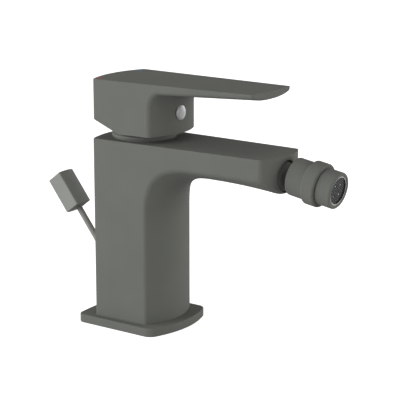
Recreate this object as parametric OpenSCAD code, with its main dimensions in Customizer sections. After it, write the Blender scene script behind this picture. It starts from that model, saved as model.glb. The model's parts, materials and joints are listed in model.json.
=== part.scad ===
// Single-lever bidet mixer: a tapered column with a cast spout, a lever over a
// ceramic-disc cartridge, a tilting spray nozzle and a waste lift rod behind.
// The origin is where the cartridge axis meets the deck. +X runs along the spout.

/* [Body casting] */
// Height of the column and spout top above the deck
body_h = 111; // [108:1:118]
// Cartridge axis to the rear corners of the column
col_rear = 19.6; // [19:0.2:23]
// Cartridge axis to the front corners of the column
col_front = 16; // [15:0.5:20]
// Half width across the rear corners
side_rear = 23.3; // [22.8:0.1:26]
// Half width across the front corners of the spout
side_front = 19.5; // [18:0.5:22]
// Cartridge axis to the front corners of the spout
spout_reach = 92; // [85:1:110]
// Bulge of the rear face
bow_rear = 4.6; // [3:0.1:7]
// Bulge of the column's front face
bow_column = 6.6; // [4:0.2:8]
// Bulge of the spout's front face
bow_spout = 5.7; // [3:0.1:8]
// Depth of the spout's side faces
spout_side = 12.4; // [11:0.2:14]
// Length of the arch under the spout
arch_len = 32.4; // [24:0.4:38]
// Height of the arch under the spout
arch_h = 29.6; // [20:0.4:36]
// Squareness of the arch, 2 is an ellipse
arch_power = 2.8; // [2:0.1:3.4]
// Bulge of the spout's underside behind the arch
belly_mid = 6.4; // [5:0.2:8]
// Bulge of the spout's underside at its end
belly_end = 10.7; // [9.5:0.1:11.5]
// Radius of the upright edges at the rear and at the spout's and lever's ends
edge_r = 1.4; // [0.6:0.2:2.4]
// Radius of the edges down the column's front and along the spout's underside
under_edge_r = 2; // [1:0.2:2.6]
// Radius of the spout's lower front edge
spout_lip_r = 3; // [1:0.2:4]
// Wall of the hollow foot of the column
foot_wall = 3.6; // [3:0.2:4.5]
// Height of the hollow foot's ceiling above the deck
hollow_h = 55; // [46:1:58]

/* [Base flange] */
// Thickness of the flange
flange_t = 5.1; // [4:0.1:8]
// Half width of the flange
flange_side = 27.3; // [26.5:0.1:30]
// Cartridge axis to the front corners of the flange
flange_front = 23.1; // [22:0.1:28]
// Cartridge axis to the rear corners of the flange
flange_rear = 30; // [29:0.5:34]
// Bulge of the flange's front edge
flange_bow_front = 6.4; // [5:0.2:8]
// Bulge of the flange's rear edge
flange_bow_rear = 1.8; // [1:0.2:4]
// Radius of the flange's corners
flange_r = 3.6; // [2:0.2:5]
// Depth of the seat that the column's foot stands in
flange_seat = 0.8; // [0.5:0.1:1.5]
// Radius of the opening for the hoses and the rod
flange_hole_r = 15.5; // [14:0.5:16]
// Inner radius of the gasket in the underside
gasket_r = 19.5; // [18:0.5:21]
// Width of the gasket
gasket_w = 3; // [2:0.2:4]
// Thickness of the gasket
gasket_t = 2; // [1.2:0.1:2.4]

/* [Water ways] */
// Radius of each tapped inlet, the core of M10 x 1
inlet_r = 4.5; // [4.2:0.1:5]
// Depth of the tapped inlets
inlet_depth = 11; // [9:0.5:13]
// Cartridge axis back to the inlets
inlet_x = 4; // [3:0.5:5]
// Half the spacing of the inlets
inlet_y = 8; // [7.6:0.1:9]
// Radius of each port from an inlet to the cartridge
port_r = 2.5; // [2:0.1:2.8]
// Radius of the tapped hole for the fixing stud, the core of M8
stud_r = 3.4; // [3.2:0.1:3.6]
// Cartridge axis forward to the fixing stud
stud_x = 9; // [8:0.5:10]
// Depth of the fixing stud's hole
stud_depth = 14; // [10:1:16]
// Radius of the water way along the spout
duct_r = 4.2; // [3:0.1:4.6]

/* [Cartridge] */
// Radius of the cartridge
cart_r = 17.5; // [17.3:0.05:17.7]
// Depth of the cartridge bore below the top
bore_depth = 35; // [34:0.5:37]
// Radius of the clamping nut's thread
nut_r = 18.4; // [18.1:0.1:18.7]
// Depth of the clamping nut's thread
nut_depth = 10; // [8:0.5:12]
// Height of the lever pin above the seat of the cartridge
pin_h = 24; // [23:0.25:25]
// Radius of the lever pin
pin_r = 1.25; // [1:0.05:1.5]
// Thickness of the stem along X
stem_x = 8; // [7:0.2:9]
// Thickness of the stem along Y
stem_y = 6; // [5:0.2:7]
// Radius of the stem's ball end
stem_ball = 2.2; // [2:0.05:2.4]
// Lever pin up to the top of the stem
stem_up = 34; // [30:0.5:36]
// Opening angle of the lever
lift_angle = 22; // [18:1:22]
// Radius of the fixed ceramic disc
fixed_disc_r = 15.2; // [14.6:0.1:15.4]
// Radius of the moving ceramic disc
moving_disc_r = 11; // [10.5:0.1:11.6]
// Thickness of each ceramic disc
disc_t = 3.2; // [2.8:0.1:3.4]
// Radius of the trim collar on top of the body
collar_r = 18.96; // [18.9:0.02:19.6]
// Height of the collar's straight edge
collar_h = 2.2; // [1.6:0.1:2.4]
// Height of the collar's dome above its edge
dome_h = 2.7; // [2:0.1:3]

/* [Lever handle] */
// Gap between the body top and the underside of the hub
hub_gap = 4.3; // [4:0.1:5]
// Height of the hub and lever
hub_h = 30.2; // [28:0.2:34]
// Cartridge axis to the rear corners of the hub
hub_rear = 18.6; // [18:0.2:22]
// Half width across the rear corners of the hub
hub_side = 23.9; // [23:0.1:26]
// Bulge of the hub's rear face
hub_bow_rear = 5.3; // [3:0.1:7]
// Cartridge axis to the front corners of the hub
hub_front = 19.3; // [18:0.1:22]
// Bulge of the hub's front face
hub_bow_front = 6.4; // [4:0.1:8]
// Cartridge axis to the tip of the lever
lever_reach = 86; // [76:1:100]
// Half width of the lever's tip
tip_side = 19.1; // [16:0.1:21]
// Thickness of the lever's side faces where it leaves the hub
blade_root = 5.3; // [4.4:0.1:7]
// Thickness of the lever's side faces at the tip
blade_tip = 2.4; // [2:0.1:3.5]
// Bulge of the lever's underside
blade_belly = 2; // [1:0.1:2.6]
// Slope of the clearance cut under the hub's rear, in degrees
rear_cut = 22.8; // [22.5:0.1:26]
// Cartridge axis back to the start of that cut
rear_cut_x = 1.5; // [1:0.1:2.5]
// Wall of the hollow hub
hub_wall = 3.2; // [2.6:0.1:4]
// Thickness of the hub's roof
hub_roof = 5; // [4:0.2:7]
// Radius of the cap over the set screw
cap_r = 4.4; // [3.8:0.1:4.8]
// Height of the set screw above the hub's underside
screw_h = 11.9; // [11:0.1:13]
// Radius of the set screw, M6
screw_r = 3; // [2.5:0.1:3]
// Radius of the hot and cold marks
dot_r = 1.9; // [1.2:0.1:2.2]
// Radius of the hub's front upright edges
hub_edge_r = 3; // [1:0.2:4]
// Radius of the lever's lower edges
blade_edge_r = 2; // [1:0.2:2.2]

/* [Spray nozzle] */
// Height of the nozzle's ball below the body top
ball_drop = 11.7; // [11.4:0.1:12]
// Front of the spout to the centre of the ball
ball_out = 9.5; // [9:0.1:12]
// Radius of the ball
ball_r = 6.5; // [6.3:0.1:6.8]
// Radius of the neck behind the ball
neck_r = 3.4; // [3:0.1:3.5]
// Downward tilt of the nozzle at rest
nozzle_tilt = 9.7; // [6:0.1:12]
// Radius of the rear barrel
barrel_r = 10.6; // [10.4:0.1:11.4]
// Radius of the grip ring
ring_r = 12; // [11.6:0.1:13]
// Radius of the aerator housing
tip_r = 10.2; // [9.9:0.1:10.8]
// Ball centre back to the barrel's rear end
barrel_back = 5.3; // [5.1:0.1:5.6]
// Ball centre to the rear of the grip ring
ring_start = 5.6; // [5:0.1:6.5]
// Ball centre to the front of the grip ring
ring_end = 13.1; // [12.5:0.1:15]
// Ball centre to the outlet rim
rim_out = 22.5; // [21.5:0.1:26]
// Radius of the outlet
outlet_r = 8.1; // [7.6:0.1:8.4]
// Spacing of the honeycomb cells
cell_pitch = 1.7; // [1.4:0.1:2.4]
// Web between the honeycomb cells
cell_web = 0.4; // [0.3:0.05:0.6]
// Radius of the recess round the neck in the spout's end
recess_r = 9.6; // [9.2:0.1:9.8]
// Depth of that recess
recess_depth = 4.5; // [3:0.1:5]

/* [Lift rod] */
// Height where the rod leaves the rear face
rod_exit = 27.5; // [26:0.5:34]
// Tilt of the rod from upright
rod_tilt = 38; // [34:0.5:42]
// Radius of the rod
rod_r = 1.8; // [1.5:0.05:2.2]
// Rear face to the underside of the knob, along the rod
rod_show = 43.5; // [36:0.5:60]
// Length of the knob
knob_len = 22.5; // [16:0.5:28]
// Half width of the knob across Y
knob_y = 6.3; // [4.5:0.1:7.5]
// Half thickness of the knob at its corners
knob_x = 5.2; // [4:0.1:7]
// Bulge of the knob's front and rear faces
knob_bow = 1.1; // [0.5:0.1:2]
// Radius of the rod's guide bush
bush_r = 3.4; // [3.1:0.1:3.8]
// Length of the bush inside the rear face
bush_in = 9; // [8:0.5:10]

/* [Hidden] */

// Running clearance between pieces that turn or slide in each other
run = 0.05;
// Clearance of pieces that are screwed or pushed together
fit = 0.05;
// Play at the ends of pieces that turn or slide
play = 0.2;
// Overshoot that keeps cutting faces off the faces they cut
eps = 1;
// Small chamfer on turned edges
chamfer = 0.5;
// Chords in each bowed edge
bow_n = 14;
// Chords in each rounded corner
corner_n = 4;
// Facets of round solids, and of spheres that slide in each other
$fn = 64;
ball_fn = 96;

// Finishes: graphite coat, its lighter tone, brass, ceramic, plastics, rubber
c_coat = [0.44, 0.45, 0.43];
c_light = [0.56, 0.57, 0.55];
c_brass = [0.80, 0.66, 0.36];
c_ceramic = [0.93, 0.92, 0.88];
c_white = [0.88, 0.88, 0.86];
c_dark = [0.16, 0.16, 0.16];
c_rubber = [0.10, 0.10, 0.10];
c_steel = [0.70, 0.71, 0.72];

seat_z = body_h - bore_depth;
bore_r = cart_r + 2 * fit;
spout_edge_z = body_h - spout_side;
spout_end = spout_reach + bow_spout;
foot_z = flange_t - flange_seat;
rear_face = col_rear + bow_rear;
ball_x = spout_end + ball_out;
ball_z = body_h - ball_drop;
pin_z = seat_z + pin_h;
hub_z = body_h + hub_gap;
hub_top = hub_z + hub_h;
hub_face = hub_front + hub_bow_front;
screw_z = hub_z + screw_h;

// Levels of the cartridge, from its seat up
base_t = 4.4;
carrier_t = 3.6;
rotor_flange_t = 3.6;
discs_z = seat_z + base_t;
moving_z = discs_z + disc_t;
carrier_z = moving_z + disc_t;
rotor_z = carrier_z + carrier_t + play;
shoulder_z = body_h - nut_depth;
neck_top = body_h + 3;
// Radii of the housing: inside, and inside and outside of its neck
housing_wall = 2.1;
housing_in = cart_r - housing_wall;
neck_in = 11.35;
neck_out = 13.1;
// Lever arm from the pin down to the carrier, and the discs' offset when shut
stem_arm = pin_z - carrier_z - stem_ball - play;
disc_offset = stem_arm * sin(lift_angle) / 2;
// Half width of the carrier across its flats
carrier_flat = moving_disc_r - 0.6;

function unit(v) = v / norm(v);

// Half width of a tapered side at x, from (x0, w0) to (x1, w1)
function taper(x, x0, w0, x1, w1) = w0 + (w1 - w0) * (x - x0) / (x1 - x0);

function body_side(x) = taper(x, -col_rear, side_rear, spout_reach, side_front);
function hub_width(x) = taper(x, -hub_rear, hub_side, lever_reach, tip_side);

// Rise of a bowed edge at the offset u from its middle, -1 to 1 across the edge
function bow(u, s) = s * (1 - u * u);

// Points between two rounded corners along a bowed edge, from y = -w to w
function bow_points(x, w, s, dir) = [for (i = [1 : bow_n - 1])
    let (u = dir * (2 * i / bow_n - 1)) [x + dir * bow(u, s), u * w]];

// Arc of radius r in the corner at p between its neighbours a and b
function corner_points(a, p, b, r) = let (
    u = unit(a - p), v = unit(b - p), half = acos(u * v) / 2,
    c = p + unit(u + v) * r / sin(half), t = r / tan(half),
    d0 = (p + u * t - c) / r, d1 = (p + v * t - c) / r, turn = 180 - 2 * half)
    [for (i = [0 : corner_n]) let (k = i / corner_n)
        c + r * (d0 * sin((1 - k) * turn) + d1 * sin(k * turn)) / sin(turn)];

// Plan of a piece with tapered straight sides and bowed rear and front edges
function plan(x0, w0, s0, x1, w1, s1, r) = let (
    front = bow_points(x1, w1, s1, 1), rear = bow_points(-x0, w0, s0, -1), n = bow_n - 2)
    concat(
        corner_points(rear[n], [-x0, -w0], [x1, -w1], r),
        corner_points([-x0, -w0], [x1, -w1], front[0], r),
        front,
        corner_points(front[n], [x1, w1], [-x0, w0], r),
        corner_points([x1, w1], [-x0, w0], rear[0], r),
        rear);

module column_hollow_plan(inset) {
    polygon(plan(col_rear - inset, body_side(-col_rear) - inset, bow_rear,
        col_front - inset, body_side(col_front) - inset, bow_column, edge_r));
}

// Chords in the arch, along the underside behind it, and round its edges
arch_n = 14;
under_n = 5;
round_n = 5;
// Sections between the round edges of a casting
section_n = 12;

// Points of a squared quarter arch from its crown back to its foot at x0, z0
function arch_points(x0, z0, a, b, p) = [for (i = [arch_n : -1 : 0]) let (t = 90 * i / arch_n)
    [x0 + a - a * pow(max(cos(t), 0), 2 / p), z0 + b * pow(sin(t), 2 / p)]];

// How far a rounded edge of radius r stands back, at the distance d from the side
function round_back(d, r) = d >= r ? 0 : r - sqrt(max(0, r * r - pow(r - max(d, 0), 2)));

// Offsets of the sections across a casting: close together over its round edges
function section_offsets(w, r) = let (
    edge = [for (i = [0 : round_n]) 1 - r * (1 - cos(90 * i / round_n)) / w],
    inner = edge[round_n])
    concat(-edge, [for (i = [1 : section_n - 1]) inner * (2 * i / section_n - 1)],
        [for (i = [round_n : -1 : 0]) edge[i]]);

// Outline with each of its edges moved inwards by its own step. It turns clockwise.
function inward(p, q) = unit([q[1] - p[1], p[0] - q[0]]);
function stepped_in(p, s) = let (n = len(p)) [for (i = [0 : n - 1]) let (
    h = (i + n - 1) % n, a = inward(p[h], p[i]), b = inward(p[i], p[(i + 1) % n]),
    cross = a[0] * b[1] - a[1] * b[0])
    p[i] + (abs(cross) < 0.3 ? unit(a + b) * (s[h] + s[i]) / 2 / (unit(a + b) * b)
        : [s[h] * b[1] - s[i] * a[1], s[i] * a[0] - s[h] * b[0]] / cross)];

function with_radius(points, r) = [for (q = points) [q[0], q[1], r]];

// One section of a casting at the offset u: its outline [x, z, edge radius] from the
// side, drawn in near the side faces so that each edge there is round. w0 and w1 are
// the half widths at x0 and x1.
function casting_section(o, u, x0, w0, x1, w1) = let (
    n = len(o), flat = [for (q = o) [q[0], q[1]]],
    steps = [for (i = [0 : n - 1]) round_back((1 - abs(u))
        * taper((o[i][0] + o[(i + 1) % n][0]) / 2, x0, w0, x1, w1), o[i][2])])
    [for (q = stepped_in(flat, steps)) [q[0], u * taper(q[0], x0, w0, x1, w1), q[1]]];

// Solid through the sections of a casting. The outline's edges in flats are flat from
// side to side, and those in walls are in one piece between sections. All of a side
// face can be seen from the outline's second corner, where its fan of triangles starts.
module casting(rows, flats, walls) {
    m = len(rows[0]);
    cols = len(rows) - 1;
    function at(j, i) = j * m + i % m;
    sides = [for (i = [0 : m - 1]) if (len(search(i, flats)) == 0) for (j = [0 : cols - 1])
        let (a = at(j, i), b = at(j, i + 1), c = at(j + 1, i + 1), d = at(j + 1, i))
        each len(search(i, walls)) > 0 ? [[a, d, c, b]] : [[a, d, c], [a, c, b]]];
    levels = [for (i = flats) concat([for (j = [0 : cols]) at(j, i)],
        [for (j = [cols : -1 : 0]) at(j, i + 1)])];
    ends = [[for (i = [1 : m]) at(0, i)], [for (i = [m + 1 : -1 : 2]) at(cols, i)]];
    polyhedron([for (row = rows) each row], concat(ends, sides, levels), convexity = 6);
}

// Corners [x, y, radius] of a turned section, each rounded by its radius
function turned_section(c) = let (n = len(c)) [for (i = [0 : n - 1]) let (
    a = c[(i + n - 1) % n], p = c[i], b = c[(i + 1) % n])
    each p[2] > 0 ? corner_points([a[0], a[1]], [p[0], p[1]], [b[0], b[1]], p[2])
        : [[p[0], p[1]]]];

// Straight round bar or bore from point a to point b
module rod_between(a, b, r) {
    d = b - a;
    translate(a) rotate([0, acos(d[2] / norm(d)), atan2(d[1], d[0])])
        cylinder(h = norm(d), r = r);
}

// Flat ring of height h
module washer(r_out, r_in, h) {
    difference() {
        cylinder(h = h, r = r_out);
        translate([0, 0, -eps]) cylinder(h = h + 2 * eps, r = r_in);
    }
}

// Frame of the rod: its origin is on the rear face and +Z runs up the rod
module rod_frame() {
    translate([-rear_face, 0, rod_exit]) rotate([0, -rod_tilt, 0]) children();
}

// Frame of the nozzle: its origin is the ball's centre and +Z runs to the outlet
module nozzle_frame(tilt = nozzle_tilt) {
    translate([ball_x, 0, ball_z]) rotate([0, 90 + tilt, 0]) children();
}

// Riser from the outlet in the side of the cartridge up to the water way in the spout
riser_r = 3;
riser_foot = [bore_r - 1.6, 0, seat_z + base_t - 0.9];
riser_top = [bore_r + 16.4, 0, ball_z + 1];
// Wall of the boss round the bush, and the least wall at the column's skin
boss_wall = 2;
skin = 1;

// Height of the spout's underside at x, and the body's outline from the side, clockwise
// from the rear of its foot, both at the offset u
function spout_under(x, u) = let (
    k = max(0, (x - col_front - bow(u, bow_column) - arch_len)
        / (spout_end + 2 - col_front - arch_len)))
    spout_edge_z - bow(u, belly_mid + (belly_end - belly_mid) * k * k);
function body_outline(u) = let (
    rear = -col_rear - bow(u, bow_rear), front = spout_reach + bow(u, bow_spout),
    col = col_front + bow(u, bow_column), crown = col + arch_len, back = front - 2 * spout_lip_r,
    lip = corner_points([front, body_h], [front, spout_under(front, u)],
        [back, spout_under(back, u)], spout_lip_r))
    concat([[rear, foot_z, edge_r], [rear, body_h, 0], [front, body_h, edge_r]],
        with_radius(concat(lip,
            [for (i = [under_n - 1 : -1 : 1]) let (
                x = crown + (lip[corner_n][0] - crown) * i / under_n) [x, spout_under(x, u)]],
            arch_points(col, spout_under(0, u) - arch_h, arch_len, arch_h, arch_power)),
            under_edge_r),
        [[col, foot_z, 0]]);

module body_casting() {
    casting([for (u = section_offsets(side_rear, max(edge_r, under_edge_r)))
        casting_section(body_outline(u), u, -col_rear, side_rear, spout_reach, side_front)],
        [1, len(body_outline(0)) - 1], [0]);
}

module body() {
    color(c_coat) difference() {
        union() {
            difference() {
                body_casting();
                translate([0, 0, -eps]) linear_extrude(hollow_h + eps)
                    column_hollow_plan(foot_wall);
            }
            intersection() {
                rod_frame() translate([0, 0, -bush_in]) cylinder(h = bush_in,
                    r = bush_r + boss_wall);
                translate([0, 0, foot_z]) linear_extrude(hollow_h) column_hollow_plan(skin);
            }
        }
        translate([0, 0, seat_z]) cylinder(h = bore_depth + eps, r = bore_r);
        translate([0, 0, shoulder_z]) cylinder(h = nut_depth + eps, r = nut_r + fit);
        for (s = [-1, 1]) translate([-inlet_x, s * inlet_y, 0]) {
            translate([0, 0, hollow_h - eps]) cylinder(h = inlet_depth + eps, r = inlet_r);
            translate([0, 0, hollow_h]) cylinder(h = seat_z - hollow_h + eps, r = port_r);
        }
        translate([stud_x, 0, hollow_h - eps]) cylinder(h = stud_depth + eps, r = stud_r);
        rod_between(riser_foot, riser_top, riser_r);
        rod_between([riser_top[0] - riser_r, 0, ball_z], [spout_end + eps, 0, ball_z], duct_r);
        translate([spout_end - recess_depth - shank_len, 0, ball_z]) rotate([0, 90, 0])
            cylinder(h = shank_len + eps, r = shank_r + fit);
        translate([spout_end, 0, ball_z]) rotate([0, -90, 0])
            translate([0, 0, -eps]) cylinder(h = recess_depth + eps,
                r1 = recess_r, r2 = recess_r - 1);
        rod_frame() translate([0, 0, -2 * bush_in]) cylinder(h = 3 * bush_in, r = bush_r + fit);
    }
}

module base_flange() {
    color(c_coat) difference() {
        linear_extrude(flange_t) polygon(plan(flange_rear, flange_side, flange_bow_rear,
            flange_front, flange_side, flange_bow_front, flange_r));
        translate([0, 0, -eps]) cylinder(h = flange_t + 2 * eps, r = flange_hole_r);
        translate([0, 0, foot_z]) linear_extrude(flange_seat + eps)
            polygon(plan(col_rear + fit, side_rear + fit, bow_rear,
                col_front + fit, body_side(col_front) + fit, bow_column, 0.7 * edge_r));
        translate([0, 0, -eps]) washer(gasket_r + gasket_w + fit, gasket_r - fit,
            gasket_t + eps);
    }
}

module base_gasket() {
    color(c_rubber) washer(gasket_r + gasket_w, gasket_r, gasket_t);
}

// How far the bush stands out of the rear face, and its tapered lead inside
bush_out = 3.5;
bush_lead = 2;

module rod_bush() {
    color(c_white) rod_frame() difference() {
        union() {
            translate([0, 0, -bush_in]) cylinder(h = bush_in + bush_out, r = bush_r);
            translate([0, 0, -bush_in - bush_lead]) cylinder(h = bush_lead + fit,
                r1 = bush_r - chamfer, r2 = bush_r);
        }
        translate([0, 0, -2 * bush_in]) cylinder(h = 3 * bush_in, r = rod_r + run);
    }
}

// Length of rod inside the column, down to just above the deck, and inside the knob
rod_lift_off = 0.3;
rod_in = (rod_exit - rod_r * sin(rod_tilt) - rod_lift_off) / cos(rod_tilt);
rod_grip = 9;
knob_edge_r = 0.4;

module lift_rod() {
    color(c_light) rod_frame() union() {
        translate([0, 0, chamfer - rod_in])
            cylinder(h = rod_in + rod_show + rod_grip - chamfer, r = rod_r);
        translate([0, 0, -rod_in]) cylinder(h = chamfer, r1 = rod_r - chamfer, r2 = rod_r);
    }
}

module rod_knob() {
    color(c_light) rod_frame() translate([0, 0, rod_show]) difference() {
        linear_extrude(knob_len) polygon(plan(knob_x, knob_y, knob_bow,
            knob_x, knob_y, knob_bow, knob_edge_r));
        translate([0, 0, -eps]) cylinder(h = rod_grip + eps, r = rod_r + fit);
    }
}

seal_t = 1.6;
seal_r = port_r + 1.7;

// Cartridge axis to its outlet port, and the floor under the outlet's side slot
outlet_x = 8;
slot_floor = 0.8;

// Holes of the base and the fixed disc: two inlet ports and one outlet port
module port_holes(z, h) {
    for (s = [-1, 1]) translate([-inlet_x, s * inlet_y, z]) cylinder(h = h, r = port_r);
    translate([outlet_x, 0, z]) cylinder(h = h, r = riser_r);
}

module cartridge_base() {
    color(c_white) difference() {
        translate([0, 0, seat_z]) cylinder(h = base_t, r = cart_r);
        port_holes(seat_z + seal_t, base_t);
        for (s = [-1, 1]) translate([-inlet_x, s * inlet_y, seat_z - eps])
            cylinder(h = seal_t + eps, r = seal_r + fit);
        translate([outlet_x, -riser_r, seat_z + slot_floor])
            cube([cart_r, 2 * riser_r, base_t - 2 * slot_floor]);
    }
}

module inlet_seals() {
    color(c_rubber) for (s = [-1, 1]) translate([-inlet_x, s * inlet_y, seat_z])
        washer(seal_r, port_r, seal_t);
}

module fixed_disc() {
    color(c_ceramic) difference() {
        translate([0, 0, discs_z]) cylinder(h = disc_t, r = fixed_disc_r);
        port_holes(discs_z - eps, disc_t + 2 * eps);
    }
}

// Mixing pocket in the underside of the moving disc
pocket_x = 4;
pocket_r = 5.5;

module moving_disc() {
    color(c_ceramic) translate([-disc_offset, 0, moving_z]) difference() {
        cylinder(h = disc_t, r = moving_disc_r);
        translate([pocket_x, 0, -eps]) cylinder(h = disc_t / 2 + eps, r = pocket_r);
    }
}

module disc_carrier() {
    color(c_white) translate([-disc_offset, 0, carrier_z]) difference() {
        intersection() {
            cylinder(h = carrier_t, r = moving_disc_r);
            translate([-cart_r, -carrier_flat, -eps])
                cube([2 * cart_r, 2 * carrier_flat, carrier_t + 2 * eps]);
        }
        translate([disc_offset, 0, -eps]) linear_extrude(carrier_t + 2 * eps)
            square([2 * stem_ball + 4 * play, 2 * (stem_ball + play)], center = true);
    }
}

// Slot of the rotor in the plane of the lever's swing, round the pin
slot_half = stem_x / 2 / cos(lift_angle) + 2 * play;
slot_up = neck_top - pin_z + eps;
slot_down = pin_z - rotor_z + eps;
function rotor_slot() = [
    [-slot_half, -slot_down], [-slot_half, 0],
    [-slot_half - slot_up * tan(lift_angle), slot_up], [slot_half, slot_up],
    [slot_half, 0], [slot_half + slot_down * tan(lift_angle), -slot_down]];

// Top of the rotor, and the lugs that turn the carrier by its flats
rotor_top = neck_top - 0.6;
lug_in = carrier_flat + run;
lug_w = 12;
lug_t = 6;

module cartridge_rotor() {
    color(c_dark) difference() {
        union() {
            translate([0, 0, rotor_z]) cylinder(h = rotor_flange_t, r = housing_in - run);
            translate([0, 0, rotor_z]) cylinder(h = rotor_top - rotor_z, r = neck_in - run);
            for (s = [0, 1]) mirror([0, s, 0]) intersection() {
                translate([0, 0, carrier_z + play])
                    cylinder(h = rotor_z - carrier_z, r = housing_in - run);
                translate([-lug_w / 2, lug_in, carrier_z])
                    cube([lug_w, lug_t, rotor_z - carrier_z + eps]);
            }
        }
        translate([0, stem_y / 2 + run, pin_z]) rotate([90, 0, 0])
            linear_extrude(stem_y + 2 * run) polygon(rotor_slot());
        translate([0, 0, pin_z]) rotate([90, 0, 0])
            cylinder(h = 4 * neck_in, r = pin_r + fit / 2, center = true);
    }
}

module lever_pin() {
    color(c_steel) translate([0, 0, pin_z]) rotate([90, 0, 0])
        cylinder(h = 2 * (neck_in - 4 * play), r = pin_r, center = true);
}

module cartridge_stem() {
    color(c_brass) difference() {
        union() {
            translate([-stem_x / 2, -stem_y / 2, pin_z - stem_x / 2])
                cube([stem_x, stem_y, stem_up + stem_x / 2]);
            translate([0, 0, pin_z - stem_arm]) cylinder(h = stem_arm, r = stem_ball - chamfer);
            translate([0, 0, pin_z - stem_arm]) sphere(r = stem_ball);
        }
        translate([0, 0, pin_z]) rotate([90, 0, 0])
            cylinder(h = 2 * stem_y, r = pin_r + run, center = true);
    }
}

module cartridge_housing() {
    color(c_white) difference() {
        union() {
            translate([0, 0, discs_z]) cylinder(h = shoulder_z - discs_z, r = cart_r);
            translate([0, 0, discs_z]) cylinder(h = neck_top - discs_z, r = neck_out);
        }
        translate([0, 0, discs_z - eps])
            cylinder(h = rotor_z + rotor_flange_t + play - discs_z + eps, r = housing_in);
        translate([0, 0, discs_z - eps]) cylinder(h = neck_top - discs_z + 2 * eps, r = neck_in);
    }
}

// Head of the clamping nut, inside the collar, and its four key slots
nut_head_h = 1.3;
nut_head_r = collar_r - 1.7;
key_w = 4;
key_depth = 2;

module cartridge_nut() {
    color(c_brass) difference() {
        union() {
            translate([0, 0, shoulder_z]) cylinder(h = nut_depth, r = nut_r);
            translate([0, 0, shoulder_z]) cylinder(h = nut_depth + nut_head_h, r = nut_head_r);
        }
        translate([0, 0, shoulder_z - eps])
            cylinder(h = nut_depth + nut_head_h + 2 * eps, r = neck_out + fit);
        for (a = [45 : 90 : 315]) rotate([0, 0, a])
            translate([neck_out - eps, -key_w / 2, body_h + nut_head_h - key_depth])
                cube([nut_r, key_w, key_depth + eps]);
    }
}

// Inner edge of the collar's dome, the dome's shoulder, and its sheet thickness
dome_r = neck_out + 0.5;
dome_shoulder = 1.5;
dome_rise = 0.8;
collar_edge = 0.45;
dome_edge = 4;
sheet_t = 1.2;

module cartridge_collar() {
    color(c_coat) translate([0, 0, body_h]) rotate_extrude()
        polygon(turned_section([[nut_head_r + fit, 0, 0], [collar_r, 0, 0],
            [collar_r, collar_h, collar_edge],
            [dome_r + dome_shoulder, collar_h + dome_h * dome_rise, dome_edge],
            [dome_r, collar_h + dome_h, 0], [dome_r, collar_h + dome_h - sheet_t, 0],
            [nut_head_r + fit, collar_h - chamfer, 0]]));
}

// Fillet between the hub's front and the lever's underside, and that underside
blade_arch_a = 6.6;
blade_arch_b = 10;
blade_arch_power = 2.2;
tip_bow = 0.2;
blade_slope = (blade_root - blade_tip) / (lever_reach - hub_front - blade_arch_a);
blade_edge = min(blade_edge_r, blade_tip - 0.4);
tip_lip_r = 2.3;
stem_top = pin_z + stem_up;
// Boss round the stem's socket, its foot above the hub's underside, and the screw's sleeve
boss_r = 8.4;
boss_foot = 6.2;
sleeve_wall = 1.2;

// Height of the lever's underside at x, and its outline from the side, clockwise from
// the rear of its underside, both at the offset u
function blade_under(x, u) = hub_top - blade_root - bow(u, blade_belly)
    + blade_slope * max(0, x - bow(u, hub_bow_front) - hub_front - blade_arch_a);
function lever_outline(u) = let (
    rear = -hub_rear - bow(u, hub_bow_rear), tip = lever_reach + bow(u, tip_bow),
    hub = hub_front + bow(u, hub_bow_front), back = tip - 2 * tip_lip_r,
    lip = corner_points([tip, hub_top], [tip, blade_under(tip, u)],
        [back, blade_under(back, u)], tip_lip_r),
    curve = arch_points(hub, blade_under(0, u) - blade_arch_b, blade_arch_a, blade_arch_b,
        blade_arch_power))
    concat([[rear, hub_z - (rear + rear_cut_x) * tan(rear_cut), edge_r], [rear, hub_top, 0],
        [tip, hub_top, edge_r]],
        with_radius(lip, blade_edge),
        [for (i = [0 : arch_n]) [curve[i][0], curve[i][1],
            blade_edge + (hub_edge_r - blade_edge) * i / arch_n]],
        [[hub, hub_z, 0], [-rear_cut_x, hub_z, 0]]);

module handle_shell() {
    m = len(lever_outline(0));
    casting([for (u = section_offsets(hub_side, max(edge_r, hub_edge_r)))
        casting_section(lever_outline(u), u, -hub_rear, hub_side, lever_reach, tip_side)],
        [1], [0, m - 2, m - 1]);
}

module handle() {
    color(c_coat) difference() {
        union() {
            difference() {
                handle_shell();
                translate([0, 0, hub_z - eps]) linear_extrude(hub_h - hub_roof + eps)
                    polygon(plan(hub_rear - hub_wall, hub_side - hub_wall, hub_bow_rear,
                        hub_front - hub_wall, hub_width(hub_front) - hub_wall,
                        hub_bow_front, edge_r));
            }
            translate([0, 0, hub_z + boss_foot])
                cylinder(h = hub_h - boss_foot - hub_roof / 2, r = boss_r);
            translate([0, 0, screw_z]) rotate([0, 90, 0])
                cylinder(h = hub_face - hub_wall / 2, r = cap_r + sleeve_wall);
        }
        translate([-stem_x / 2 - fit, -stem_y / 2 - fit, hub_z])
            cube([stem_x + 2 * fit, stem_y + 2 * fit, stem_top + play - hub_z]);
        translate([0, 0, screw_z]) rotate([0, 90, 0]) cylinder(h = hub_face + eps,
            r = screw_r + fit);
        translate([hub_face - cap_t, 0, screw_z]) rotate([0, 90, 0])
            cylinder(h = cap_t + eps, r = cap_r + fit);
        for (s = [-1, 1]) translate([-dot_x, s * dot_y, hub_top - dot_t])
            cylinder(h = dot_t + eps, r = dot_r + fit);
    }
}

// Place and thickness of the hot and cold marks in the lever's top
dot_x = hub_rear - 0.8;
dot_y = hub_side - 5.2;
dot_t = 0.6;
// Cap, its dome, and the set screw behind it with its hexagon socket
cap_t = 3;
cap_dome = 0.4;
cap_edge = 0.4;
screw_back = 5;
screw_len = hub_face - cap_t - stem_x / 2 - screw_back;
hex_r = 1.7;
hex_depth = 3;

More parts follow.
